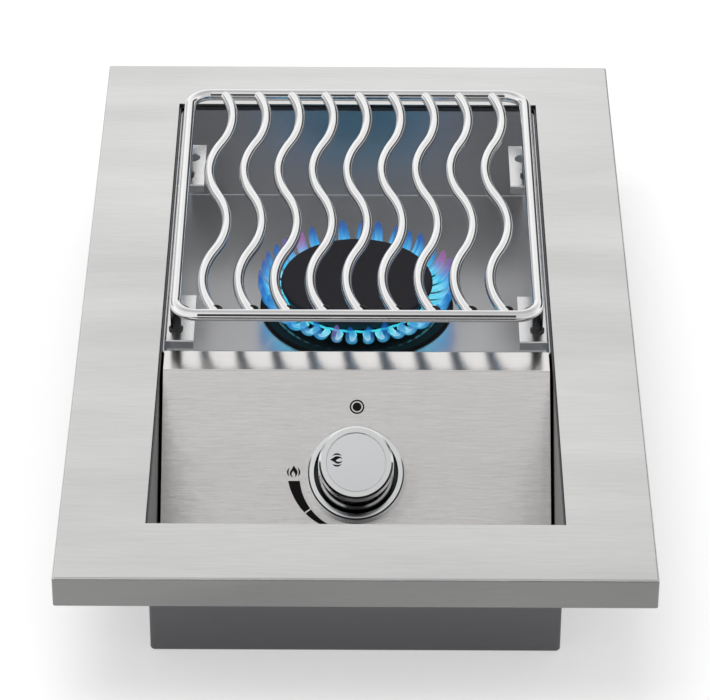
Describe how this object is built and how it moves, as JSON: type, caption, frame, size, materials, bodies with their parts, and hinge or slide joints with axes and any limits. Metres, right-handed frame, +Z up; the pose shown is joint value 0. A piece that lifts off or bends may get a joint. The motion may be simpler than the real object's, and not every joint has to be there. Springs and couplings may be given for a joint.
{
  "type": "built in side burner",
  "caption": "Drop-in gas side burner: a wide steel trim frame, a sloped panel with one knob, a round capped burner and a lift-off grate of wavy rods.",
  "frame": {"origin": "middle of the rectangle that the unit covers, on the underside of the box", "axes": "+Z up, +X to the right of the cook, +Y away from the cook, with the knob on the -Y side"},
  "size_m": [0.362, 0.61, 0.118],
  "materials": {
    "trim_steel": "brushed along its length, satin",
    "housing_steel": "bright inside, satin outside",
    "tray_steel": "satin",
    "panel_steel": "brushed from side to side",
    "bracket_steel": "bright satin",
    "screw_steel": "bright",
    "dark_enamel": "glossy black enamel",
    "bowl_casting": "glossy black enamel",
    "head_casting": "fine cast",
    "cap_enamel": "satin black enamel",
    "zinc_sheet": "zinc plated",
    "tube_aluminium": "drawn, satin",
    "brass": "machined",
    "valve_casting": "as cast",
    "stem_steel": "bright drawn",
    "spark_plastic": "matte",
    "lead_rubber": "matte",
    "ceramic": "glazed white",
    "knob_chrome": "mirror bright",
    "knob_face": "satin",
    "grate_steel": "polished rod"
  },
  "bodies": {
    "burner_unit": {"trim_frame": "trim_steel", "housing_box": "housing_steel", "burner_tray": "tray_steel", "control_panel": "panel_steel", "bracket_front_left": "bracket_steel", "bracket_front_right": "bracket_steel", "bracket_rear_left": "bracket_steel", "bracket_rear_right": "bracket_steel", "panel_screws": "screw_steel", "burner_screws": "screw_steel", "bonnet_screws": "screw_steel", "valve_screws": "screw_steel", "pipe_clip_screw": "screw_steel", "drip_ring": "dark_enamel", "burner_bowl": "bowl_casting", "burner_head": "head_casting", "burner_pedestal": "zinc_sheet", "pipe_clip": "zinc_sheet", "mixing_tube": "tube_aluminium", "inlet_pipe": "tube_aluminium", "gas_orifice": "brass", "outlet_elbow": "brass", "inlet_fitting": "brass", "inlet_locknut": "brass", "gas_valve_body": "valve_casting", "valve_bonnet": "valve_casting", "spark_electrode": "stem_steel", "piezo_igniter": "spark_plastic", "igniter_lead": "lead_rubber", "electrode_insulator": "ceramic", "knob_bezel": "knob_chrome"},
    "valve_plug": {"valve_plug": "brass", "stem_spring": "stem_steel"},
    "knob": {"knob_body": "knob_chrome", "knob_disc": "knob_face", "valve_stem": "stem_steel"},
    "burner_cap": {"burner_cap": "cap_enamel"},
    "grate": {"grate_frame": "grate_steel", "grate_rod_1": "grate_steel", "grate_rod_2": "grate_steel", "grate_rod_3": "grate_steel", "grate_rod_4": "grate_steel", "grate_rod_5": "grate_steel", "grate_rod_6": "grate_steel", "grate_rod_7": "grate_steel", "grate_rod_8": "grate_steel", "grate_rod_9": "grate_steel", "grate_leg_front_left": "grate_steel", "grate_leg_front_right": "grate_steel", "grate_leg_rear_left": "grate_steel", "grate_leg_rear_right": "grate_steel"}
  },
  "joints": [
    {"name": "knob_turn", "type": "hinge", "parent": "burner_unit", "child": "valve_plug", "pos_m": [0, -0.13603, 0.0516], "axis": [0, -0.6691, 0.7431], "range_deg": [-90, 100]},
    {"name": "knob_push", "type": "slide", "parent": "valve_plug", "child": "knob", "axis": [0, 0.6691, -0.7431], "range_m": [0, 0.0035], "stiffness_N_per_m": 1500, "springref_m": -0.004, "deforming": ["stem_spring"]},
    {"name": "cap_lift", "type": "slide", "parent": "burner_unit", "child": "burner_cap", "axis": [0, 0, 1], "range_m": [0, 0.03]},
    {"name": "grate_lift", "type": "slide", "parent": "burner_unit", "child": "grate", "axis": [0, 0, 1], "range_m": [0, 0.06]}
  ]
}
